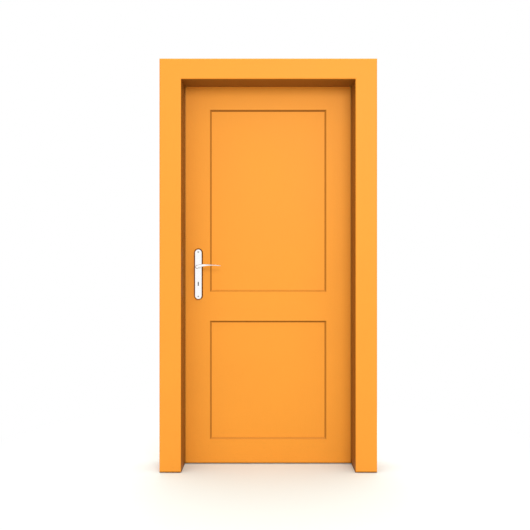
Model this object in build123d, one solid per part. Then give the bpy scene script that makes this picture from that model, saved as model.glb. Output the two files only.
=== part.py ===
"""Single panelled interior door, hung in a rebated lining with flat casings.

Sizes are in millimetres. The doorway faces -Y, the leaf opens towards +Y and +Z is up.
Pieces are drawn about the middle of the doorway, with the floor at z = 0 and the middle of the
wall at y = 0, and are moved at the end so that the origin lies on the hinge jamb's wall face.
"""
from build123d import *
import os

# Leaf
leaf_width = 915.0
leaf_height = 2035.0
leaf_thickness = 40.0
stile_width = 152.5
top_rail_height = 139.0
lock_rail_height = 174.0
bottom_rail_height = 136.5
lower_panel_height = 621.5
panel_recess = 8.0
border_width = 9.0
border_quirk = 1.5
border_lip = 1.0
panel_tongue = 10.0
panel_play = 2.0
lock_edge_bevel = 2.0

# Gaps round the closed leaf
edge_gap = 5.5
face_gap = 5.0
undercut = 5.0

# Lining and casings
lining_depth = 170.0
lining_thickness = 40.0
rebate_depth = 13.5
casing_thickness = 20.0
side_casing_width = 113.0
head_casing_width = 107.5
casing_round = 8.0
rear_casing_setback = 24.5

# Hinges
hinge_length = 100.0
hinge_plate_width = 32.0
hinge_plate_thickness = 2.5
hinge_setback = 7.0
knuckle_radius = 6.5
knuckle_count = 5
knuckle_gap = 0.3
pin_radius = 3.0
pin_clearance = 0.05
pin_head_radius = 5.0
pin_head_height = 4.0
pin_tip = 2.0
top_hinge_drop = 200.0
bottom_hinge_rise = 250.0

# Lock
backset = 82.0
lever_height = 1063.0
key_centres = 92.0
forend_length = 235.0
forend_width = 22.0
forend_thickness = 3.0
forend_corner = 4.0
latch_width = 12.0
latch_height = 18.0
dead_bolt_width = 14.0
dead_bolt_height = 28.0
bolt_length = 30.0
bolt_clearance = 0.2
strike_length = 170.0
strike_width = 26.0
strike_thickness = 2.5
strike_corner = 4.0
strike_play = 2.0
strike_pocket_depth = 16.0

# Handles
plate_width = 47.0
plate_height = 278.0
plate_thickness = 9.0
plate_wall = 3.0
plate_bevel = 6.0
plate_drop = 40.0
key_slot_width = 7.0
key_slot_height = 23.0
shank_radius = 8.0
shank_clearance = 0.05
shank_length = 8.0
lever_gap = 0.3
lever_projection = 48.0
neck_radius = 9.8
neck_bevel = 2.5
# Grip: distance from the axis, upper edge, lower edge and depth
grip_stations = [
    (0.0, 9.5, -6.0, 18.6),
    (18.0, 13.5, -0.5, 18.4),
    (40.0, 14.2, 3.5, 17.6),
    (62.0, 12.8, 6.2, 16.4),
    (92.0, 10.6, 6.0, 14.4),
    (122.0, 8.3, 4.7, 10.8),
]
grip_bevel = 1.2
spindle_width = 8.0
spindle_clearance = 0.05
spindle_engagement = 24.0
spindle_bore_clearance = 2.5

# Lining, from the leaf and its gaps
leaf_half = leaf_width / 2
rebate_half = leaf_half + edge_gap
clear_half = rebate_half - rebate_depth
wall_half = clear_half + lining_thickness
leaf_foot = undercut
leaf_top = leaf_foot + leaf_height
rebate_top = leaf_top + edge_gap
clear_top = rebate_top - rebate_depth
lining_top = clear_top + lining_thickness
lining_front = -lining_depth / 2
lining_rear = lining_depth / 2
leaf_rear = lining_rear
leaf_front = leaf_rear - leaf_thickness
leaf_middle = (leaf_front + leaf_rear) / 2
stop_face = leaf_front - face_gap
casing_half = clear_half + side_casing_width
casing_top = clear_top + head_casing_width

# Leaf members, from the foot up
stile_inner = leaf_half - stile_width
panel_front = leaf_front + panel_recess
panel_rear = leaf_rear - panel_recess
bottom_rail_top = leaf_foot + bottom_rail_height
lock_rail_bottom = bottom_rail_top + lower_panel_height
lock_rail_top = lock_rail_bottom + lock_rail_height
top_rail_bottom = leaf_top - top_rail_height
groove_depth = panel_tongue + panel_play
border_slope = panel_recess - border_quirk - border_lip

# Hinge line, halfway across the gap and behind the leaf
hinge_x = (leaf_half + rebate_half) / 2
hinge_y = leaf_rear + hinge_setback
hinge_plate_front = leaf_rear - hinge_plate_width
top_hinge_z = leaf_top - top_hinge_drop
bottom_hinge_z = leaf_foot + bottom_hinge_rise
hinge_heights = {
    "top": top_hinge_z,
    "middle": (top_hinge_z + bottom_hinge_z) / 2,
    "bottom": bottom_hinge_z,
}
knuckle_pitch = hinge_length / knuckle_count

# Lock and handle places
lever_x = -leaf_half + backset
key_z = lever_height - key_centres
lock_z = (lever_height + key_z) / 2
plate_z = lever_height - plate_drop
plate_front = leaf_front - plate_thickness
grip_y = plate_front - lever_projection
shank_bore = shank_radius + shank_clearance
spindle_bore = spindle_width * 2**0.5 / 2 + spindle_bore_clearance
leaf_mirror = Plane(origin=(0, leaf_middle, 0), x_dir=(1, 0, 0), z_dir=(0, 1, 0))

# Slanted lock edge: local x runs up the door, local y towards the rear, local z outwards
lock_edge = Plane(
    origin=(-leaf_half + lock_edge_bevel / 2, leaf_middle, lock_z),
    x_dir=(0, 0, 1),
    z_dir=(-leaf_thickness, -lock_edge_bevel, 0),
)
# Strike face on the lock jamb's rebate, facing the leaf
strike_face = Plane(
    origin=(-rebate_half, leaf_middle, lock_z), x_dir=(0, 0, 1), z_dir=(1, 0, 0)
)


def block(x_span, y_span, z_span):
    """A box between two values on each axis."""
    spans = (x_span, y_span, z_span)
    sizes = [high - low for low, high in spans]
    middles = [(high + low) / 2 for low, high in spans]
    return Pos(*middles) * Box(*sizes)


def post(x, y, z_span, radius):
    """An upright cylinder."""
    low, high = z_span
    return Pos(x, y, (low + high) / 2) * Cylinder(radius, high - low)


def bar_through(x, z, y_span, radius):
    """A cylinder that runs through the door, along Y."""
    low, high = y_span
    return Pos(x, (low + high) / 2, z) * Rot(90, 0, 0) * Cylinder(radius, high - low)


def sunk(plane, sketch, depth):
    """A sketch on a plane, carried back into the piece by a depth."""
    return extrude(plane * sketch, -depth)


# Lining

def plain_jamb():
    """The right-hand jamb: a board with a rebate for the leaf along its rear edge."""
    height = (0, lining_top)
    board = block((clear_half, wall_half), (lining_front, lining_rear), height)
    rebate = block((clear_half, rebate_half), (stop_face, lining_rear), height)
    return board - rebate


def hinge_jamb():
    jamb = plain_jamb()
    for z in hinge_heights.values():
        jamb -= hinge_plate(rebate_half, 1, z)
    return jamb


def lock_jamb():
    jamb = mirror(plain_jamb(), Plane.YZ)
    jamb -= sunk(strike_face, strike_outline(), strike_thickness)
    for pocket in strike_windows():
        jamb -= sunk(strike_face, pocket, strike_pocket_depth)
    return jamb


def head_jamb():
    """The head, cut to sit between the jambs with the rebate carried across."""
    stop = block((-clear_half, clear_half), (lining_front, stop_face), (clear_top, lining_top))
    rear = block((-rebate_half, rebate_half), (stop_face, lining_rear), (rebate_top, lining_top))
    return stop + rear


# Casings

def casing_board(x_span, z_span, back, outward):
    """A flat board on the wall, and the edges of the face that shows."""
    depth = sorted((back, back + outward * casing_thickness))
    board = block(x_span, depth, z_span)
    face = board.faces().sort_by(Axis.Y)[-1 if outward > 0 else 0]
    return board, face.edges()


def mitre(setback, side):
    """The plane of a corner joint, facing the leg on that side."""
    run = side_casing_width - setback
    rise = head_casing_width - setback
    corner = (side * (clear_half + setback), 0, clear_top + setback)
    return Plane(origin=corner, x_dir=(0, 1, 0), z_dir=(side * rise, 0, -run))


def casing(name, setback, back, outward):
    """The two legs and the head of one casing, rounded over and cut to their mitres."""
    right, left = mitre(setback, 1), mitre(setback, -1)
    inner_half = clear_half + setback
    inner_top = clear_top + setback
    leg, edges = casing_board((inner_half, casing_half), (0, casing_top), back, outward)
    leg = fillet(edges.sort_by(Axis.Z)[:-1], casing_round)
    leg = split(leg, right, Keep.TOP)
    head, edges = casing_board((-casing_half, casing_half), (inner_top, casing_top), back, outward)
    head = fillet(edges.filter_by(Axis.X), casing_round)
    return {
        f"{name}_casing_left": mirror(leg, Plane.YZ),
        f"{name}_casing_right": leg,
        f"{name}_casing_head": split(split(head, right, Keep.BOTTOM), left, Keep.BOTTOM),
    }


# Leaf

def sinking(bottom, top):
    """What is cut away round a panel on the front face: a small step, then a slope inwards."""
    half = stile_inner + border_width
    width = 2 * half
    height = top - bottom + 2 * border_width
    slope_start = leaf_front + border_quirk
    step = block((-half, half), (leaf_front, slope_start), (bottom - border_width, top + border_width))
    far = (border_width, border_width, width - border_width, height - border_width)
    slope = Wedge(width, border_slope, height, *far)
    return step + Pos(0, slope_start + border_slope / 2, (bottom + top) / 2) * slope


def sunk_borders():
    """The sinkings of both panels on both faces."""
    openings = ((bottom_rail_top, lock_rail_bottom), (lock_rail_top, top_rail_bottom))
    front = [sinking(*opening) for opening in openings]
    return front + [mirror(solid, leaf_mirror) for solid in front]


def plain_stile():
    """The right-hand stile, grooved along its inner edge and sloped towards the panels."""
    height = (leaf_foot, leaf_top)
    stile = block((stile_inner, leaf_half), (leaf_front, leaf_rear), height)
    groove = block((stile_inner, stile_inner + groove_depth), (panel_front, panel_rear), height)
    return stile - groove - sunk_borders()


def hinge_stile():
    stile = plain_stile()
    for z in hinge_heights.values():
        stile -= hinge_plate(leaf_half, -1, z)
    return stile


def lock_stile():
    """The left-hand stile, with its slanted edge, the lock's mortices and the handle's holes."""
    stile = mirror(plain_stile(), Plane.YZ)
    beyond_edge = Box(2 * leaf_height, 2 * leaf_thickness, leaf_thickness)
    stile -= lock_edge * Pos(Z=leaf_thickness / 2) * beyond_edge
    stile -= sunk(lock_edge, forend_outline(), forend_thickness)
    for pocket in bolt_windows(bolt_clearance):
        stile -= sunk(lock_edge, pocket, bolt_length + bolt_clearance)
    stile -= bar_through(lever_x, lever_height, (leaf_front, leaf_rear), spindle_bore)
    stile -= key_slot(leaf_front, leaf_rear)
    return stile


def rail(bottom, top, grooved_below, grooved_above):
    """A rail with a tongue at each end in the stiles, grooved where it holds a panel."""
    end = stile_inner + panel_tongue
    board = block((-stile_inner, stile_inner), (leaf_front, leaf_rear), (bottom, top))
    board += block((-end, end), (panel_front, panel_rear), (bottom, top))
    grooves = []
    if grooved_below:
        grooves.append((bottom, bottom + groove_depth))
    if grooved_above:
        grooves.append((top - groove_depth, top))
    for span in grooves:
        board -= block((-end, end), (panel_front, panel_rear), span)
    return board - sunk_borders()


def panel(bottom, top):
    """A flat panel that reaches into the grooves all round."""
    end = stile_inner + panel_tongue
    height = (bottom - panel_tongue, top + panel_tongue)
    return block((-end, end), (panel_front, panel_rear), height)


# Hinges

def hinge_plate(face, into, z):
    """The flat of one hinge leaf, let in flush with the face it is screwed to."""
    across = sorted((face, face + into * hinge_plate_thickness))
    height = (z - hinge_length / 2, z + hinge_length / 2)
    return block(across, (hinge_plate_front, leaf_rear), height)


def hinge_leaf(face, into, z, first):
    """A hinge leaf with every second knuckle rolled round the pin, starting at the first."""
    leaf = hinge_plate(face, into, z)
    across = sorted((face, face + into * hinge_plate_thickness))
    foot = z - hinge_length / 2
    for number in range(first, knuckle_count, 2):
        low = foot + number * knuckle_pitch + (knuckle_gap / 2 if number else 0)
        last = number == knuckle_count - 1
        high = foot + (number + 1) * knuckle_pitch - (0 if last else knuckle_gap / 2)
        leaf += block(across, (leaf_rear, hinge_y), (low, high))
        leaf += post(hinge_x, hinge_y, (low, high), knuckle_radius)
    bore = (foot - knuckle_pitch, foot + hinge_length + knuckle_pitch)
    return leaf - post(hinge_x, hinge_y, bore, pin_radius + pin_clearance)


def hinge_pin(z):
    """A pin that hangs by its head on the top knuckle and shows a short tip below."""
    top = z + hinge_length / 2
    head = post(hinge_x, hinge_y, (top, top + pin_head_height), pin_head_radius)
    return head + post(hinge_x, hinge_y, (z - hinge_length / 2 - pin_tip, top), pin_radius)


# Lock

def forend_outline():
    return RectangleRounded(forend_length, forend_width, forend_corner)


def strike_outline():
    return RectangleRounded(strike_length, strike_width, strike_corner)


def bolt_windows(play):
    """Outlines of the latch and the dead bolt on an upright face, grown by a play."""
    latch = Rectangle(latch_height + 2 * play, latch_width + 2 * play)
    dead = Rectangle(dead_bolt_height + 2 * play, dead_bolt_width + 2 * play)
    return [Pos(lever_height - lock_z, 0) * latch, Pos(key_z - lock_z, 0) * dead]


def strike_windows():
    return bolt_windows(strike_play)


def lock_forend():
    forend = sunk(lock_edge, forend_outline(), forend_thickness)
    for window in bolt_windows(bolt_clearance):
        forend -= sunk(lock_edge, window, forend_thickness)
    return forend


def strike_plate():
    plate = sunk(strike_face, strike_outline(), strike_thickness)
    for window in strike_windows():
        plate -= sunk(strike_face, window, strike_thickness)
    return plate


def latch_bolt():
    """The latch, drawn back so that its slanted nose ends flush with the forend."""
    bolt = sunk(lock_edge, bolt_windows(0)[0], bolt_length)
    half = latch_width / 2
    nose = Polyline((-half, -latch_width), (half, 0), (-half, 0), close=True)
    slant = Plane(lock_edge.origin, x_dir=lock_edge.y_dir, z_dir=lock_edge.x_dir)
    wedge = extrude(make_face(nose), latch_height / 2, both=True)
    return bolt - slant * Pos(Z=lever_height - lock_z) * wedge


def dead_bolt():
    return sunk(lock_edge, bolt_windows(0)[1], bolt_length)


# Handles

def upright_slot(width, height):
    """A round-ended outline that stands upright."""
    return SlotOverall(height, width, 90)


def key_slot(near, far):
    """The keyhole through everything between two depths."""
    face = Plane((lever_x, near, key_z), x_dir=(-1, 0, 0), z_dir=(0, 1, 0))
    return extrude(face * upright_slot(key_slot_width, key_slot_height), far - near)


def front_plate():
    """A pressed backplate: round ends, bevelled rim and an open back."""
    back = Plane((lever_x, leaf_front, plate_z), x_dir=(1, 0, 0), z_dir=(0, -1, 0))
    plate = extrude(back * upright_slot(plate_width, plate_height), plate_thickness)
    rim = plate.faces().sort_by(Axis.Y)[0].edges()
    plate = chamfer(rim, plate_bevel)
    inset = plate_wall + plate_bevel / 2
    hollow = upright_slot(plate_width - 2 * inset, plate_height - 2 * inset)
    plate -= extrude(back * hollow, plate_thickness - plate_wall)
    plate -= bar_through(lever_x, lever_height, (plate_front, leaf_front), shank_bore)
    return plate - key_slot(plate_front, leaf_front)


def grip_outline(upper, lower):
    """A closed outline along the grip, between two edges that a round tip joins."""
    tip_run = upper[-1][0] + (upper[-1][1] - lower[-1][1]) / 2
    tip = (tip_run, (upper[-1][1] + lower[-1][1]) / 2)
    edges = Spline(*upper) + ThreePointArc(upper[-1], tip, lower[-1]) + Spline(*lower)
    return make_face(edges + Line(lower[0], upper[0]))


def grip():
    """A thin blade: its outline from the front, cut by its outline from above, edges eased."""
    front_outline = grip_outline(
        [(run, upper) for run, upper, lower, depth in grip_stations],
        [(run, lower) for run, upper, lower, depth in grip_stations],
    )
    plan_outline = grip_outline(
        [(run, depth / 2) for run, upper, lower, depth in grip_stations],
        [(run, -depth / 2) for run, upper, lower, depth in grip_stations],
    )
    behind = Plane((lever_x, grip_y + neck_radius, lever_height), x_dir=(1, 0, 0), z_dir=(0, -1, 0))
    below = Plane((lever_x, grip_y, lever_height - lever_projection), x_dir=(1, 0, 0), z_dir=(0, 0, 1))
    blade = extrude(behind * front_outline, 2 * neck_radius)
    blade &= extrude(below * plan_outline, 2 * lever_projection)
    return chamfer(blade.edges(), grip_bevel)


def front_lever():
    """A round neck that carries the rising and tapering grip."""
    root = plate_front - lever_gap
    tip = grip_y - neck_radius
    neck = bar_through(lever_x, lever_height, (tip, root), neck_radius)
    neck = chamfer(neck.edges().sort_by(Axis.Y)[0], neck_bevel)
    socket_end = plate_front + shank_length
    shank = bar_through(lever_x, lever_height, (root, socket_end), shank_radius)
    width = spindle_width + 2 * spindle_clearance
    return neck + grip() + shank - square_bar(width, socket_end - spindle_engagement, socket_end)


def square_bar(width, near, far):
    half = width / 2
    across = (lever_x - half, lever_x + half)
    return block(across, (near, far), (lever_height - half, lever_height + half))


def spindle():
    """The square bar that turns both levers together."""
    near = plate_front + shank_length - spindle_engagement + spindle_clearance
    return square_bar(spindle_width, near, 2 * leaf_middle - near)


# Assembly

def frame_pieces():
    pieces = {
        "lock_jamb": lock_jamb(),
        "hinge_jamb": hinge_jamb(),
        "head_jamb": head_jamb(),
        "strike_plate": strike_plate(),
    }
    pieces.update(casing("front", 0, lining_front, -1))
    pieces.update(casing("rear", rear_casing_setback, lining_rear, 1))
    for place, z in hinge_heights.items():
        pieces[f"frame_hinge_leaf_{place}"] = hinge_leaf(rebate_half, 1, z, 0)
        pieces[f"hinge_pin_{place}"] = hinge_pin(z)
    return pieces


def leaf_pieces():
    pieces = {
        "lock_stile": lock_stile(),
        "hinge_stile": hinge_stile(),
        "top_rail": rail(top_rail_bottom, leaf_top, True, False),
        "lock_rail": rail(lock_rail_bottom, lock_rail_top, True, True),
        "bottom_rail": rail(leaf_foot, bottom_rail_top, False, True),
        "upper_panel": panel(lock_rail_top, top_rail_bottom),
        "lower_panel": panel(bottom_rail_top, lock_rail_bottom),
        "lock_forend": lock_forend(),
        "latch_bolt": latch_bolt(),
        "dead_bolt": dead_bolt(),
    }
    for place, z in hinge_heights.items():
        pieces[f"leaf_hinge_leaf_{place}"] = hinge_leaf(leaf_half, -1, z, 1)
    return pieces


def handle_pieces():
    plate = front_plate()
    lever = front_lever()
    return {
        "front_plate": plate,
        "rear_plate": mirror(plate, leaf_mirror),
        "front_lever": lever,
        "rear_lever": mirror(lever, leaf_mirror),
        "spindle": spindle(),
    }


def main():
    os.makedirs("parts", exist_ok=True)
    to_wall_face = Pos(-wall_half, 0, 0)
    for pieces in (frame_pieces(), leaf_pieces(), handle_pieces()):
        for name, piece in pieces.items():
            export_step(to_wall_face * piece, f"parts/{name}.step")


if __name__ == "__main__":
    main()
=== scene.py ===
"""Dresses a painted panel door: satin paint, polished handles, satin hinges and lock, screws, studio."""
import math

import bpy
from bpy.props import FloatProperty, FloatVectorProperty, IntProperty, PointerProperty
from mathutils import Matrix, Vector


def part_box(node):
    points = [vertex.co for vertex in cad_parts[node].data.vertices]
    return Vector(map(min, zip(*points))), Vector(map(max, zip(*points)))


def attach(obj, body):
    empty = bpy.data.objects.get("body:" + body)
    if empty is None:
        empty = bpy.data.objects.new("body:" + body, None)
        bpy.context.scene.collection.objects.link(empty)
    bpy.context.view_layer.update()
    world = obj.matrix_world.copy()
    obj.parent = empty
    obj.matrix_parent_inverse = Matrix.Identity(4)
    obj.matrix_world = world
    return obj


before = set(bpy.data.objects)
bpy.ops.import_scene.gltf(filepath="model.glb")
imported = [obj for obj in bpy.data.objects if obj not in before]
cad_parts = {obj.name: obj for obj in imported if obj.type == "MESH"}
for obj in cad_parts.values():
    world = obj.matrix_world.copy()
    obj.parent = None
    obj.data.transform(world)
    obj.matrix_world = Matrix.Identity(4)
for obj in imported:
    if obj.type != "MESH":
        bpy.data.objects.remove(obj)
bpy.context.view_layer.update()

bl_info = {
    "name": "Panel Door Dressing",
    "version": (1, 0, 0),
    "blender": (4, 5, 0),
    "location": "View3D > Sidebar > Door",
    "description": "Paints a hung panel door, finishes its metal, fits its screws and lights it",
    "category": "Object",
}

# Leaf and rear casings, by the way their grain runs
UPRIGHTS = (
    "lock_stile", "hinge_stile", "upper_panel", "lower_panel", "rear_casing_left", "rear_casing_right",
)
LEVELS = ("top_rail", "lock_rail", "bottom_rail", "rear_casing_head")

# Lining and front casings, by the way their grain runs
DOORWAY_UPRIGHTS = ("lock_jamb", "hinge_jamb", "front_casing_left", "front_casing_right")
DOORWAY_LEVELS = ("head_jamb", "front_casing_head")

# The axis that the grain follows
ACROSS, UP = 0, 2

# Metalwork
PLATES = ("front_plate", "rear_plate")
LEVERS = ("front_lever", "rear_lever")
HINGE_PLACES = ("top", "middle", "bottom")
LOCK_IRON = ("strike_plate", "lock_forend", "latch_bolt", "dead_bolt", "spindle")

# Even patterns: how many to a metre, layers of finer detail, and how strong those are
STIPPLE = (620.0, 2.0, 0.6)
CLOUDS = (4.0, 3.0, 0.5)
HAZE = (34.0, 4.0, 0.6)
RIPPLE = (60.0, 1.0, 0.4)
PATCHES = (45.0, 3.0, 0.55)

# Drawn-out marks: size along X, Y and Z in metres, then layers and their strength
SCUFFS = ((0.02, 0.02, 0.006), 4.0, 0.6)
POLISHING = ((0.012, 0.012, 0.0005), 2.0, 0.5)
BRUSHING = ((0.0004, 0.0004, 0.02), 3.0, 0.6)
STROKE_DETAIL = (3.0, 0.55)

# Where a mask fades, in metres: from a low value to a high one
BORDER_START = (-0.0015, 0.0005)
BORDER_END = (-0.0005, 0.0003)
KEYHOLE_EDGE = (0.014, 0.016)
ROOT_EDGE = (0.014, 0.022)
STOP_EDGE = (0.0, 0.01)
SCUFFED_HEIGHT = (0.0, 0.3)

# Where a mask fades, by how a surface faces: 1 along an axis, -1 against it
RIM_FACING = (0.8, 0.95)
UNDERSIDE_FACING = (-0.6, -0.1)
DOORWAY_FACING = (-0.98, -0.7)
FRONT_FACING = (-0.9, -0.5)

# Where a mask fades, by the strength of a pattern
SCUFF_EDGE = (0.56, 0.72)
HAZE_EDGE = (0.4, 0.75)

# Where the foot line and the floor start to fade, as shares of their reach
FOOT_FADE_START = 1 / 3
FLOOR_FADE_START = 1 / 2

# How strongly patterns and shades show in a colour
STROKE_TINT = 0.4
SCUFF_TINT = 0.22
BRUSHING_TINT = 0.3
STOP_TINT = 0.85

# How much patterns add to roughness
CLOUD_SHEEN, STROKE_SHEEN, SCUFF_SHEEN = 0.1, 0.05, 0.1
HAZE_SHEEN, POLISHING_SHEEN = 0.09, 0.03
BRUSHING_SHEEN, PATCH_SHEEN = 0.12, 0.06

# Relief of the paint: shares of strokes and stipple, and strength
STROKE_RELIEF, STIPPLE_RELIEF, PAINT_RELIEF = 0.7, 0.3, 0.9

# Relief of the metal: depth in metres, and strength
RIPPLE_RELIEF = (0.00004, 0.4)
BRUSHING_RELIEF = (0.00006, 0.5)

# Faces round a screw's head, and rings from pole to pole
HEAD_SEGMENTS, HEAD_RINGS = 28, 14

# A screw's crossed recess, as shares of the head's radius and rise
RECESS_WIDTH, RECESS_LENGTH, RECESS_DEPTH = 0.2, 1.15, 1.2

# Stage, in metres: each softbox has a place, a point that it faces, and a width and height
STAGE_MIDDLE = (-0.49, 0.0, 0.0)
DOOR_MIDDLE = (-0.49, 0.0, 1.1)
FLOOR_SIZE = 60.0
FLOOR_DROP = 0.0005
SOFTBOXES = {
    "key": ((0.5, -5.0, 3.0), DOOR_MIDDLE, (2.6, 1.6)),
    "top": ((-0.49, 0.3, 4.6), (-0.49, 0.3, 0.0), (3.0, 3.0)),
    "rear": ((-0.9, 5.0, 2.6), DOOR_MIDDLE, (2.5, 1.5)),
}

# Camera's sensor, in millimetres
SENSOR_WIDTH = 36.0

# Plain tones
WHITE = (1.0, 1.0, 1.0, 1.0)
BLACK = (0.0, 0.0, 0.0, 1.0)
FLOOR_SEEN = (0.872, 0.951, 0.92, 1.0)
FLOOR_LIGHTING = (0.7, 0.7, 0.7, 1.0)


class PaintLook(bpy.types.PropertyGroup):
    """The paint on lining, casings and leaf."""

    colour: FloatVectorProperty(
        name="Colour", description="Paint colour",
        subtype="COLOR", default=(0.95, 0.355, 0.034),
    )
    # Painted shade: its colour round the panels and in a line along the floor
    painted_shade: FloatVectorProperty(
        name="Shading", description="Colour in crevices and at the floor",
        subtype="COLOR", default=(0.35, 0.122, 0.006),
    )
    # Painted shade inside the doorway and on the leaf along its stops
    reveal_shade: FloatProperty(
        name="Reveal shade", description="How dark the doorway is inside, and the leaf along its stops",
        subtype="FACTOR", default=0.7,
    )
    # Painted shade round the panels, stronger where a border faces down
    crevice: FloatProperty(
        name="Crevice", description="How dark the borders of the panels are",
        subtype="FACTOR", default=0.78,
    )
    overhang: FloatProperty(
        name="Overhang", description="How much darker borders that face down are",
        subtype="FACTOR", default=0.73,
    )
    border_width: FloatProperty(
        name="Border", description="Width of the slope round a panel",
        subtype="DISTANCE", default=0.009,
    )
    # Painted shade in a line along the floor
    foot_line: FloatProperty(
        name="Foot line", description="Height of the dark line at the floor",
        subtype="DISTANCE", default=0.012,
    )
    foot_shade: FloatProperty(
        name="Foot shade", description="How dark the line at the floor is",
        subtype="FACTOR", default=0.85,
    )
    # Painted shade on the walls of the keyhole
    keyhole_shade_tone: FloatProperty(
        name="Keyhole tone", description="How bright the wood in the keyhole is",
        subtype="FACTOR", default=0.3,
    )
    roughness: FloatProperty(
        name="Roughness", description="How matt the paint is where it is smoothest",
        subtype="FACTOR", default=0.43,
    )
    gloss: FloatProperty(
        name="Gloss", description="Strength of the paint's reflection",
        subtype="FACTOR", default=0.2,
    )
    stroke_width: FloatProperty(
        name="Stroke width", description="Width of one brush mark",
        subtype="DISTANCE", default=0.0022,
    )
    stroke_length: FloatProperty(
        name="Stroke length", description="Length of one brush mark",
        subtype="DISTANCE", default=0.09,
    )
    stroke_depth: FloatProperty(
        name="Stroke depth", description="Height of the brush marks",
        subtype="DISTANCE", default=0.0002,
    )


class MetalLook(bpy.types.PropertyGroup):
    """The polished handles and the satin hinges and lock."""

    polished: FloatVectorProperty(
        name="Polished", description="Colour of the handles",
        subtype="COLOR", default=(0.98, 0.98, 0.98),
    )
    polished_roughness: FloatProperty(
        name="Polish", description="Roughness of the handles where they are brightest",
        subtype="FACTOR", default=0.07,
    )
    # Painted reflection of the door on the plates' rims
    rim_reflection: FloatVectorProperty(
        name="Rim", description="Tone of the plates' bevelled rims",
        subtype="COLOR", default=(0.42, 0.3, 0.1),
    )
    # Painted shade under the levers' roots
    root: FloatVectorProperty(
        name="Root", description="Tone under the levers' roots",
        subtype="COLOR", default=(0.42, 0.44, 0.44),
    )
    satin: FloatVectorProperty(
        name="Satin", description="Colour of hinges and lock",
        subtype="COLOR", default=(0.6, 0.59, 0.57),
    )
    satin_roughness: FloatProperty(
        name="Satin finish", description="Roughness of hinges and lock where they are smoothest",
        subtype="FACTOR", default=0.28,
    )
    screw_steel: FloatVectorProperty(
        name="Screws", description="Colour of the handles' screws",
        subtype="COLOR", default=(0.3, 0.31, 0.31),
    )


class ScrewSizes(bpy.types.PropertyGroup):
    """The screws that hold the handles, the hinges and the lock."""

    plate_radius: FloatProperty(
        name="Handle screw", description="Head radius on the handle plates",
        subtype="DISTANCE", default=0.0042,
    )
    plate_rise: FloatProperty(
        name="Handle screw rise", description="How far its head stands up",
        subtype="DISTANCE", default=0.0009,
    )
    flat_radius: FloatProperty(
        name="Hinge screw", description="Head radius on hinges and lock",
        subtype="DISTANCE", default=0.0042,
    )
    flat_rise: FloatProperty(
        name="Hinge screw rise", description="How far its head stands up",
        subtype="DISTANCE", default=0.0004,
    )
    plate_inset: FloatProperty(
        name="Handle screw inset", description="From the plate's end",
        subtype="DISTANCE", default=0.019,
    )
    hinge_pitch: FloatProperty(
        name="Hinge screw pitch", description="Between screws up a hinge",
        subtype="DISTANCE", default=0.034,
    )
    hinge_stagger: FloatProperty(
        name="Hinge screw stagger", description="Middle screw off the line",
        subtype="DISTANCE", default=0.008,
    )
    lock_inset: FloatProperty(
        name="Lock screw inset", description="From the end of forend and strike",
        subtype="DISTANCE", default=0.011,
    )
    seed: IntProperty(name="Seed", description="Turns each screw's cross", default=7)


class StudioSetup(bpy.types.PropertyGroup):
    """The floor, the lamps and the camera."""

    eye: FloatVectorProperty(
        name="Eye", description="Camera place",
        subtype="TRANSLATION", default=(-0.5064, -3.352, 1.0726),
    )
    lens: FloatProperty(name="Lens", description="Focal length in millimetres", default=42.77)
    ambient: FloatProperty(name="Ambient", description="Even light from all round", default=0.93)
    key: FloatProperty(
        name="Key", description="Power of the front softbox",
        subtype="POWER", default=90.0,
    )
    top: FloatProperty(
        name="Top", description="Power of the overhead softbox",
        subtype="POWER", default=45.0,
    )
    rear: FloatProperty(
        name="Rear", description="Power of the softbox behind",
        subtype="POWER", default=50.0,
    )
    shade_reach: FloatProperty(
        name="Shade reach", description="Where the floor fades to white",
        subtype="DISTANCE", default=1.7,
    )


class Wire:
    """A node socket that sums can be written on: each operator adds its Math node."""

    def __init__(self, tree, socket=None):
        self.tree = tree
        self.socket = socket

    def node(self, kind, settings=None, sockets=None, output=0):
        """Adds a node: its settings first, then the values or links of its sockets."""
        node = self.tree.nodes.new(kind)
        for name, value in (settings or {}).items():
            setattr(node, name, value)
        for name, value in (sockets or {}).items():
            self.feed(node.inputs[name], value)
        return Wire(self.tree, node.outputs[output])

    def feed(self, socket, value):
        """Links a wire to a socket, or sets the socket's own value."""
        if isinstance(value, Wire):
            self.tree.links.new(value.socket, socket)
        else:
            socket.default_value = value

    def math(self, operation, first, second):
        return self.node("ShaderNodeMath", {"operation": operation}, {0: first, 1: second})

    def __abs__(self):
        return self.math("ABSOLUTE", self, 0.0)

    def __add__(self, other):
        return self.math("ADD", self, other)

    def __sub__(self, other):
        return self.math("SUBTRACT", self, other)

    def __mul__(self, other):
        return self.math("MULTIPLY", self, other)

    def __rsub__(self, other):
        return self.math("SUBTRACT", other, self)

    __radd__ = __add__
    __rmul__ = __mul__


def larger(first, second):
    """The larger of two wires."""
    return first.math("MAXIMUM", first, second)


def beyond(value, low, high):
    """How far a wire is outside a range, and below 0 inside it."""
    return abs(value - (low + high) / 2) - (high - low) / 2


def step_up(value, low, high):
    """0 below a low value and 1 above a high one, with a smooth step between."""
    sockets = {"Value": value, "From Min": low, "From Max": high}
    return value.node("ShaderNodeMapRange", {"interpolation_type": "SMOOTHSTEP"}, sockets)


def step_down(value, low, high):
    """1 below a low value and 0 above a high one, with a smooth step between."""
    return 1.0 - step_up(value, low, high)


def on_axis(vector, axis):
    """One of a vector's X, Y and Z."""
    return vector.node("ShaderNodeSeparateXYZ", None, {0: vector}, axis)


def vectors(operation, first, second, output="Vector"):
    """A sum on two vectors, the first of them a wire."""
    return first.node("ShaderNodeVectorMath", {"operation": operation}, {0: first, 1: second}, output)


def blend(factor, low, high):
    """A colour between two, by a wire."""
    return factor.node("ShaderNodeMix", {"data_type": "RGBA"}, {0: factor, 6: low, 7: high}, 2)


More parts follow.
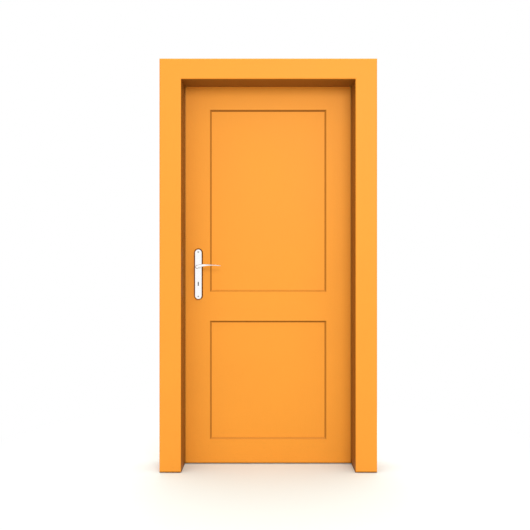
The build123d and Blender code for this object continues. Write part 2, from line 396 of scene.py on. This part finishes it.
def rgba(colour, shade=1.0):
    return tuple(min(channel * shade, 1.0) for channel in colour) + (1.0,)


def noise(place, scale, detail, roughness):
    sockets = {"Vector": place, "Scale": scale, "Detail": detail, "Roughness": roughness}
    return place.node("ShaderNodeTexNoise", None, sockets)


def marks(place, sizes, detail, roughness):
    """Noise drawn out to marks of a given size along each axis."""
    counts = tuple(1.0 / size for size in sizes)
    counted = place.node("ShaderNodeMapping", None, {"Vector": place, "Scale": counts})
    return noise(counted, 1.0, detail, roughness)


def bumped(height, depth, strength):
    sockets = {"Strength": strength, "Distance": depth, "Height": height}
    return height.node("ShaderNodeBump", None, sockets)


def facing(wire, axis):
    """How far a surface faces along one of its piece's own axes, which turn with the piece."""
    normal = wire.node("ShaderNodeNewGeometry", output="Normal")
    turn = {"convert_from": "WORLD", "convert_to": "OBJECT"}
    return on_axis(wire.node("ShaderNodeVectorTransform", turn, {0: normal}), axis)


def new_material(name):
    """An empty material: itself, a wire to build on and its shader node."""
    material = bpy.data.materials.new(name)
    material.use_nodes = True
    return material, Wire(material.node_tree), material.node_tree.nodes["Principled BSDF"]


def middle(node):
    """The middle of a node's box."""
    low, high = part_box(node)
    return (Vector(low) + Vector(high)) / 2


def doorway_sides():
    """The left and right edges of the doorway, where the upright stops are."""
    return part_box("lock_jamb")[1][0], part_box("hinge_jamb")[0][0]


def panel_openings():
    """Left, right, bottom and top of the two openings in the leaf."""
    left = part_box("lock_stile")[1][0]
    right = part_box("hinge_stile")[0][0]
    rails = (("bottom_rail", "lock_rail"), ("lock_rail", "top_rail"))
    return [(left, right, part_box(below)[1][2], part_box(above)[0][2]) for below, above in rails]


def border_mask(place, width):
    """1 on the slope round each panel, fading a little way on to the panel: where painted shade goes."""
    x, z = on_axis(place, "X"), on_axis(place, "Z")
    bands = []
    for left, right, bottom, top in panel_openings():
        outside = larger(beyond(x, left, right), beyond(z, bottom, top))
        end = step_down(outside, width + BORDER_END[0], width + BORDER_END[1])
        bands.append(step_up(outside, *BORDER_START) * end)
    return larger(*bands)


def line_distance(place, x, z):
    """How far a point is from a line through the door."""
    flat = vectors("MULTIPLY", place, (1.0, 0.0, 1.0))
    return vectors("DISTANCE", flat, (x, 0.0, z), "Value")


def keyhole_shade_mask(place):
    """1 on the walls of the keyhole, where painted shade goes."""
    away = line_distance(place, middle("front_plate").x, middle("dead_bolt").z)
    return step_down(away, *KEYHOLE_EDGE)


def doorway_mask(place):
    """1 on the faces of lining and casings that look into the doorway, at the sides and the head: where
    painted shade goes.
    """
    left, right = doorway_sides()
    side = place.math("SIGN", on_axis(place, "X") - (left + right) / 2, 0.0)
    outward = place.math("MINIMUM", side * facing(place, "X"), facing(place, "Z"))
    return step_down(outward, *DOORWAY_FACING)


def stop_mask(place):
    """Nearly 1 on the leaf's front along the two upright stops that it shuts on: where painted shade
    goes.
    """
    beside = abs(beyond(on_axis(place, "X"), *doorway_sides()))
    front = step_down(facing(place, "Y"), *FRONT_FACING)
    return STOP_TINT * step_down(beside, *STOP_EDGE) * front


def rim_reflection_mask(place):
    """1 where a handle plate's surface turns away from the door's faces: where a painted reflection of
    the door goes.
    """
    return step_down(abs(facing(place, "Y")), *RIM_FACING)


def root_shade_mask(place):
    """1 on the underside of a lever, close to the spindle: where painted shade goes."""
    spindle = middle("spindle")
    near = step_down(line_distance(place, spindle.x, spindle.z), *ROOT_EDGE)
    return near * step_down(facing(place, "Z"), *UNDERSIDE_FACING)


def worn_tone(look, strokes, clouds, scuffs):
    """The paint's colour: soft clouds, deeper brush marks and dull scuffs."""
    deep, pale = rgba(look.colour, 0.97), rgba(look.colour, 1.05)
    stroke_tone = rgba(look.colour, 0.88)
    scuff_tone = rgba(look.colour, 0.72)
    tone = blend(clouds, deep, pale)
    tone = blend(STROKE_TINT * strokes, tone, stroke_tone)
    return blend(SCUFF_TINT * scuffs, tone, scuff_tone)


def shaded_tone(tone, place, look, shade_mask):
    """A colour with painted shade round the panels, at the floor, in the keyhole and under a mask."""
    borders = border_mask(place, look.border_width) * (look.crevice - look.overhang * facing(place, "Z"))
    foot_core = FOOT_FADE_START * look.foot_line
    foot = look.foot_shade * step_down(on_axis(place, "Z"), foot_core, look.foot_line)
    tone = blend(larger(borders, foot), tone, rgba(look.painted_shade))
    tone = blend(keyhole_shade_mask(place), tone, rgba(look.colour, look.keyhole_shade_tone))
    return blend(look.reveal_shade * shade_mask(place), tone, BLACK)


def paint(name, grain, look, shade_mask):
    """Brushed satin paint: marks laid off along the grain, fine stipple, uneven sheen and tone."""
    material, wire, shader = new_material(name)
    place = wire.node("ShaderNodeTexCoord", output="Object")
    stroke_size = [look.stroke_width] * 3
    stroke_size[grain] = look.stroke_length
    strokes = marks(place, stroke_size, *STROKE_DETAIL)
    stipple = noise(place, *STIPPLE)
    clouds = noise(place, *CLOUDS)
    low_down = step_down(on_axis(place, "Z"), *SCUFFED_HEIGHT)
    scuffs = low_down * step_up(marks(place, *SCUFFS), *SCUFF_EDGE)
    tone = worn_tone(look, strokes, clouds, scuffs)
    wire.feed(shader.inputs["Base Color"], shaded_tone(tone, place, look, shade_mask))
    sheen = look.roughness + CLOUD_SHEEN * clouds + STROKE_SHEEN * strokes + SCUFF_SHEEN * scuffs
    wire.feed(shader.inputs["Roughness"], sheen)
    relief = STROKE_RELIEF * strokes + STIPPLE_RELIEF * stipple
    wire.feed(shader.inputs["Normal"], bumped(relief, look.stroke_depth, PAINT_RELIEF))
    shader.inputs["Specular IOR Level"].default_value = look.gloss
    return material


def polished_metal(name, look, mask, shade):
    """Bright plating: faint polishing lines, a soft haze of handling and a dark tone under a mask, which
    paints a reflection of the door on the plates' rims and shade under the levers' roots.
    """
    material, wire, shader = new_material(name)
    place = wire.node("ShaderNodeTexCoord", output="Object")
    haze = noise(place, *HAZE)
    lines = marks(place, *POLISHING)
    dull, bright = rgba(look.polished, 0.96), rgba(look.polished, 1.02)
    tone = blend(mask(place), blend(haze, dull, bright), rgba(shade))
    wire.feed(shader.inputs["Base Color"], tone)
    shader.inputs["Metallic"].default_value = 1.0
    handling = step_up(haze, *HAZE_EDGE)
    sheen = look.polished_roughness + HAZE_SHEEN * handling + POLISHING_SHEEN * lines
    wire.feed(shader.inputs["Roughness"], sheen)
    wire.feed(shader.inputs["Normal"], bumped(noise(place, *RIPPLE), *RIPPLE_RELIEF))
    return material


def satin_metal(name, colour, look):
    """Satin steel: fine brushing up the piece, darker in patches where it is handled less."""
    material, wire, shader = new_material(name)
    place = wire.node("ShaderNodeTexCoord", output="Object")
    brushing = marks(place, *BRUSHING)
    patches = noise(place, *PATCHES)
    dull, bright = rgba(colour, 0.86), rgba(colour, 1.08)
    brushed_tone = rgba(colour, 0.78)
    tone = blend(BRUSHING_TINT * brushing, blend(patches, dull, bright), brushed_tone)
    wire.feed(shader.inputs["Base Color"], tone)
    shader.inputs["Metallic"].default_value = 1.0
    sheen = look.satin_roughness + BRUSHING_SHEEN * brushing + PATCH_SHEEN * patches
    wire.feed(shader.inputs["Roughness"], sheen)
    wire.feed(shader.inputs["Normal"], bumped(brushing, *BRUSHING_RELIEF))
    return material


def dress(names, material):
    """Gives CAD pieces one material."""
    for name in names:
        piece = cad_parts[name]
        piece.data.materials.clear()
        piece.data.materials.append(material)


def hinge_leaves(side):
    return [f"{side}_hinge_leaf_{place}" for place in HINGE_PLACES]


def end_heights(node, inset):
    """Two heights on an upright plate, each an inset from one of its ends."""
    low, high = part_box(node)
    return low[2] + inset, high[2] - inset


def plate_screw_places(sizes):
    """Two screws on each handle plate, one near each end."""
    places = []
    for node, outward in (("front_plate", -1), ("rear_plate", 1)):
        low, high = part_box(node)
        face = high[1] if outward > 0 else low[1]
        for z in end_heights(node, sizes.plate_inset):
            places.append(((middle(node).x, face, z), (0, outward, 0)))
    return places


def hinge_screw_places(side, sizes):
    """Three staggered screws on the flat of each hinge leaf of one side."""
    leaf_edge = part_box("hinge_stile")[1][0]
    pin_line = middle("hinge_pin_top").x
    face, outward = {"leaf": (leaf_edge, 1), "frame": (2 * pin_line - leaf_edge, -1)}[side]
    places = []
    for node in hinge_leaves(side):
        across = (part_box(node)[0][1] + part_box("hinge_stile")[1][1]) / 2
        for step in (-1, 0, 1):
            y = across + sizes.hinge_stagger * (0.5 - abs(step))
            z = middle(node).z + step * sizes.hinge_pitch
            places.append(((face, y, z), (outward, 0, 0)))
    return places


def forend_screw_places(sizes):
    """Two screws through the forend, square to the slanted lock edge."""
    edge_x = (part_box("lock_stile")[0][0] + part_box("lock_forend")[0][0]) / 2
    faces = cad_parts["lock_forend"].data.polygons
    outward = tuple(min((face.normal for face in faces), key=lambda normal: normal.x))
    y = middle("lock_forend").y
    return [((edge_x, y, z), outward) for z in end_heights("lock_forend", sizes.lock_inset)]


def strike_screw_places(sizes):
    """Two screws through the strike plate, facing the leaf."""
    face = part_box("strike_plate")[1][0]
    y = middle("strike_plate").y
    return [((face, y, z), (1, 0, 0)) for z in end_heights("strike_plate", sizes.lock_inset)]


def screw_head(wire, radius, rise):
    """A domed head with a crossed recess, facing up from the origin."""
    shape = {"Segments": HEAD_SEGMENTS, "Rings": HEAD_RINGS, "Radius": 1.0}
    ball = wire.node("GeometryNodeMeshUVSphere", None, shape)
    flat = wire.node("ShaderNodeCombineXYZ", None, {"X": radius, "Y": radius, "Z": rise})
    dome = wire.node("GeometryNodeTransform", None, {"Geometry": ball, "Scale": flat})
    recess = wire.tree.nodes.new("GeometryNodeMeshBoolean")
    recess.operation = "DIFFERENCE"
    wire.feed(recess.inputs["Mesh 1"], dome)
    width, length, depth = RECESS_WIDTH * radius, RECESS_LENGTH * radius, RECESS_DEPTH * rise
    top = wire.node("ShaderNodeCombineXYZ", None, {"Z": rise})
    for x, y in ((width, length), (length, width)):
        size = wire.node("ShaderNodeCombineXYZ", None, {"X": x, "Y": y, "Z": depth})
        bar = wire.node("GeometryNodeMeshCube", None, {"Size": size})
        cut = wire.node("GeometryNodeTransform", None, {"Geometry": bar, "Translation": top})
        wire.feed(recess.inputs["Mesh 2"], cut)
    return Wire(wire.tree, recess.outputs["Mesh"])


def screw_turn(wire, seed):
    """Each screw's turn: facing outwards, with its cross at a random angle."""
    vector = {"data_type": "FLOAT_VECTOR"}
    outward = wire.node("GeometryNodeInputNamedAttribute", vector, {"Name": "outward"})
    upright = wire.node("FunctionNodeAlignRotationToVector", {"axis": "Z"}, {"Vector": outward})
    half_turn = {2: 0.0, 3: math.pi, "Seed": seed}
    angle = wire.node("FunctionNodeRandomValue", {"data_type": "FLOAT"}, half_turn, 1)
    spin = wire.node("FunctionNodeAxisAngleToRotation", None, {"Axis": (0, 0, 1), "Angle": angle})
    both = {"Rotation": upright, "Rotate By": spin}
    return wire.node("FunctionNodeRotateRotation", {"rotation_space": "LOCAL"}, both)


def screw_tree():
    """Screws with a domed head and a crossed recess, one on each point."""
    tree = bpy.data.node_groups.new("crossed_screws", "GeometryNodeTree")
    inputs = {
        "Places": "NodeSocketGeometry",
        "Head Radius": "NodeSocketFloat",
        "Head Rise": "NodeSocketFloat",
        "Seed": "NodeSocketInt",
        "Metal": "NodeSocketMaterial",
    }
    for name, kind in inputs.items():
        tree.interface.new_socket(name, in_out="INPUT", socket_type=kind)
    tree.interface.new_socket("Screws", in_out="OUTPUT", socket_type="NodeSocketGeometry")
    given = tree.nodes.new("NodeGroupInput")
    places, radius, rise, seed, metal = (Wire(tree, given.outputs[name]) for name in inputs)
    wire = Wire(tree)
    head = screw_head(wire, radius, rise)
    on_points = {"Points": places, "Instance": head, "Rotation": screw_turn(wire, seed)}
    copies = wire.node("GeometryNodeInstanceOnPoints", None, on_points)
    solid = wire.node("GeometryNodeRealizeInstances", None, {"Geometry": copies})
    plated = wire.node("GeometryNodeSetMaterial", None, {"Geometry": solid, "Material": metal})
    wire.feed(tree.nodes.new("NodeGroupOutput").inputs["Screws"], plated)
    return tree


def head_values(radius, rise, seed, metal):
    """What a set of screws gives its tree, by the names of the inputs."""
    return {"Head Radius": radius, "Head Rise": rise, "Seed": seed, "Metal": metal}


def fit_screws(name, tree, places, values, body):
    """Screws on a set of places, made a plain mesh that rides on its body."""
    mesh = bpy.data.meshes.new(name)
    mesh.from_pydata([place for place, outward in places], [], [])
    directions = mesh.attributes.new("outward", "FLOAT_VECTOR", "POINT")
    for item, (place, outward) in zip(directions.data, places):
        item.vector = outward
    piece = bpy.data.objects.new(name, mesh)
    bpy.context.scene.collection.objects.link(piece)
    modifier = piece.modifiers.new("screws", "NODES")
    modifier.node_group = tree
    for item in tree.interface.items_tree:
        if item.name in values:
            modifier[item.identifier] = values[item.name]
    graph = bpy.context.evaluated_depsgraph_get()
    solid = bpy.data.meshes.new_from_object(piece.evaluated_get(graph), depsgraph=graph)
    if not solid.polygons:
        raise RuntimeError(f"no screws were made for {name}")
    piece.modifiers.clear()
    piece.data = solid
    bpy.data.meshes.remove(mesh)
    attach(piece, body)


class DOOR_OT_paint_woodwork(bpy.types.Operator):
    """Paint the lining, the casings and the leaf along their grain"""

    bl_idname = "door.paint_woodwork"
    bl_label = "Paint woodwork"

    def execute(self, context):
        look = context.scene.door_paint
        # The leaf along its stops and the doorway's inner faces get painted shade
        dress(UPRIGHTS, paint("orange_paint_upright", UP, look, stop_mask))
        dress(LEVELS, paint("orange_paint_level", ACROSS, look, stop_mask))
        dress(DOORWAY_UPRIGHTS, paint("doorway_paint_upright", UP, look, doorway_mask))
        dress(DOORWAY_LEVELS, paint("doorway_paint_level", ACROSS, look, doorway_mask))
        return {"FINISHED"}


class DOOR_OT_polish_handles(bpy.types.Operator):
    """Plate the handle plates and levers"""

    bl_idname = "door.polish_handles"
    bl_label = "Polish handles"

    def execute(self, context):
        look = context.scene.door_metal
        # Painted reflection of the door on the plates' rims, painted shade under the levers' roots
        dress(PLATES, polished_metal("plate_plating", look, rim_reflection_mask, look.rim_reflection))
        dress(LEVERS, polished_metal("lever_plating", look, root_shade_mask, look.root))
        return {"FINISHED"}


class DOOR_OT_finish_ironmongery(bpy.types.Operator):
    """Brush the hinges, the pins and the lock's metal"""

    bl_idname = "door.finish_ironmongery"
    bl_label = "Finish hinges and lock"

    def execute(self, context):
        look = context.scene.door_metal
        pins = [f"hinge_pin_{place}" for place in HINGE_PLACES]
        pieces = hinge_leaves("frame") + hinge_leaves("leaf") + pins + list(LOCK_IRON)
        dress(pieces, satin_metal("satin_steel", look.satin, look))
        return {"FINISHED"}


class DOOR_OT_fit_screws(bpy.types.Operator):
    """Fit the screws of the handles, the hinges, the forend and the strike"""

    bl_idname = "door.fit_screws"
    bl_label = "Fit screws"

    def execute(self, context):
        sizes = context.scene.door_screws
        look = context.scene.door_metal
        tree = screw_tree()
        dark = satin_metal("handle_screw_steel", look.screw_steel, look)
        steel = bpy.data.materials["satin_steel"]
        domed = head_values(sizes.plate_radius, sizes.plate_rise, sizes.seed, dark)
        plain = head_values(sizes.flat_radius, sizes.flat_rise, sizes.seed, steel)
        fit_screws("handle_screws", tree, plate_screw_places(sizes), domed, "leaf")
        on_leaf = hinge_screw_places("leaf", sizes) + forend_screw_places(sizes)
        fit_screws("leaf_screws", tree, on_leaf, plain, "leaf")
        on_frame = hinge_screw_places("frame", sizes) + strike_screw_places(sizes)
        fit_screws("frame_screws", tree, on_frame, plain, "frame")
        return {"FINISHED"}


def seen_rays(wire):
    """1 for rays that show the background: from the camera, off metal or through glass."""
    path = wire.tree.nodes.new("ShaderNodeLightPath")
    kinds = ("Camera", "Glossy", "Transmission")
    camera, glossy, through = (Wire(wire.tree, path.outputs[f"Is {kind} Ray"]) for kind in kinds)
    return larger(larger(camera, glossy), through)


def white_world(ambient):
    """A background that is white to the eye and lights the door evenly from all round."""
    world = bpy.data.worlds.new("white_studio")
    bpy.context.scene.world = world
    world.use_nodes = True
    tree = world.node_tree
    tree.nodes.clear()
    wire = Wire(tree)
    lighting = wire.node("ShaderNodeBackground", None, {"Color": WHITE, "Strength": ambient})
    shown = wire.node("ShaderNodeBackground", None, {"Color": WHITE, "Strength": 1.0})
    both = wire.node("ShaderNodeMixShader", None, {0: seen_rays(wire), 1: lighting, 2: shown})
    wire.feed(tree.nodes.new("ShaderNodeOutputWorld").inputs["Surface"], both)


def floor_paint(reach):
    """A pale floor that keeps the door's shadow and fades to white away from it."""
    material, wire, shader = new_material("studio_floor")
    wire.tree.nodes.remove(shader)
    lighting = wire.node("ShaderNodeBsdfDiffuse", None, {"Color": FLOOR_LIGHTING})
    pale = wire.node("ShaderNodeBsdfDiffuse", None, {"Color": FLOOR_SEEN})
    white = wire.node("ShaderNodeEmission", None, {"Strength": 1.0})
    place = wire.node("ShaderNodeTexCoord", output="Object")
    away = vectors("DISTANCE", place, STAGE_MIDDLE, "Value")
    far = step_up(away, FLOOR_FADE_START * reach, reach)
    shown = wire.node("ShaderNodeMixShader", None, {0: far, 1: pale, 2: white})
    surface = wire.node("ShaderNodeMixShader", None, {0: seen_rays(wire), 1: lighting, 2: shown})
    wire.feed(wire.tree.nodes["Material Output"].inputs["Surface"], surface)
    return material


def lay_floor(reach):
    """A wide square floor, a hair below the door's feet."""
    half = FLOOR_SIZE / 2
    corners = ((-half, -half), (half, -half), (half, half), (-half, half))
    mesh = bpy.data.meshes.new("studio_floor")
    mesh.from_pydata([(x, y, -FLOOR_DROP) for x, y in corners], [], [(0, 1, 2, 3)])
    mesh.materials.append(floor_paint(reach))
    floor = bpy.data.objects.new("studio_floor", mesh)
    bpy.context.scene.collection.objects.link(floor)


def softbox(name, place, aim, size, power):
    """A large lamp, unseen by the camera, turned towards a point."""
    lamp = bpy.data.lights.new(name, "AREA")
    lamp.shape = "RECTANGLE"
    lamp.size, lamp.size_y = size
    lamp.energy = power
    box = bpy.data.objects.new(name, lamp)
    bpy.context.scene.collection.objects.link(box)
    box.location = place
    box.rotation_euler = (Vector(aim) - Vector(place)).to_track_quat("-Z", "Y").to_euler()
    box.visible_camera = False


def set_camera(scene, studio):
    """A level camera that looks straight at the door."""
    camera = bpy.data.cameras.new("eye")
    camera.lens = studio.lens
    camera.sensor_width = SENSOR_WIDTH
    eye = bpy.data.objects.new("eye", camera)
    scene.collection.objects.link(eye)
    eye.location = studio.eye
    eye.rotation_euler = (math.pi / 2, 0.0, 0.0)
    scene.camera = eye


class DOOR_OT_set_stage(bpy.types.Operator):
    """Lay the floor and set the lamps and the camera"""

    bl_idname = "door.set_stage"
    bl_label = "Set stage"

    def execute(self, context):
        studio = context.scene.door_studio
        white_world(studio.ambient)
        lay_floor(studio.shade_reach)
        for name, (place, aim, size) in SOFTBOXES.items():
            softbox(f"{name}_softbox", place, aim, size, getattr(studio, name))
        set_camera(context.scene, studio)
        context.scene.view_settings.view_transform = "Standard"
        return {"FINISHED"}


class DOOR_PT_dressing(bpy.types.Panel):
    """The door's steps and settings"""

    bl_label = "Panel door"
    bl_idname = "DOOR_PT_dressing"
    bl_space_type = "VIEW_3D"
    bl_region_type = "UI"
    bl_category = "Door"

    def draw(self, context):
        for step in STEPS:
            self.layout.operator(step.bl_idname)
        for name in GROUPS:
            group = getattr(context.scene, name)
            column = self.layout.box().column()
            for setting in group.__annotations__:
                column.prop(group, setting)


GROUPS = {
    "door_paint": PaintLook,
    "door_metal": MetalLook,
    "door_screws": ScrewSizes,
    "door_studio": StudioSetup,
}
STEPS = (
    DOOR_OT_paint_woodwork,
    DOOR_OT_polish_handles,
    DOOR_OT_finish_ironmongery,
    DOOR_OT_fit_screws,
    DOOR_OT_set_stage,
)


def register():
    for name, group in GROUPS.items():
        bpy.utils.register_class(group)
        setattr(bpy.types.Scene, name, PointerProperty(type=group))
    for step in STEPS:
        bpy.utils.register_class(step)
    bpy.utils.register_class(DOOR_PT_dressing)


def unregister():
    bpy.utils.unregister_class(DOOR_PT_dressing)
    for step in reversed(STEPS):
        bpy.utils.unregister_class(step)
    for name, group in GROUPS.items():
        delattr(bpy.types.Scene, name)
        bpy.utils.unregister_class(group)


def main():
    register()
    bpy.ops.door.paint_woodwork()
    bpy.ops.door.polish_handles()
    bpy.ops.door.finish_ironmongery()
    bpy.ops.door.fit_screws()
    bpy.ops.door.set_stage()


if __name__ == "__main__":
    main()
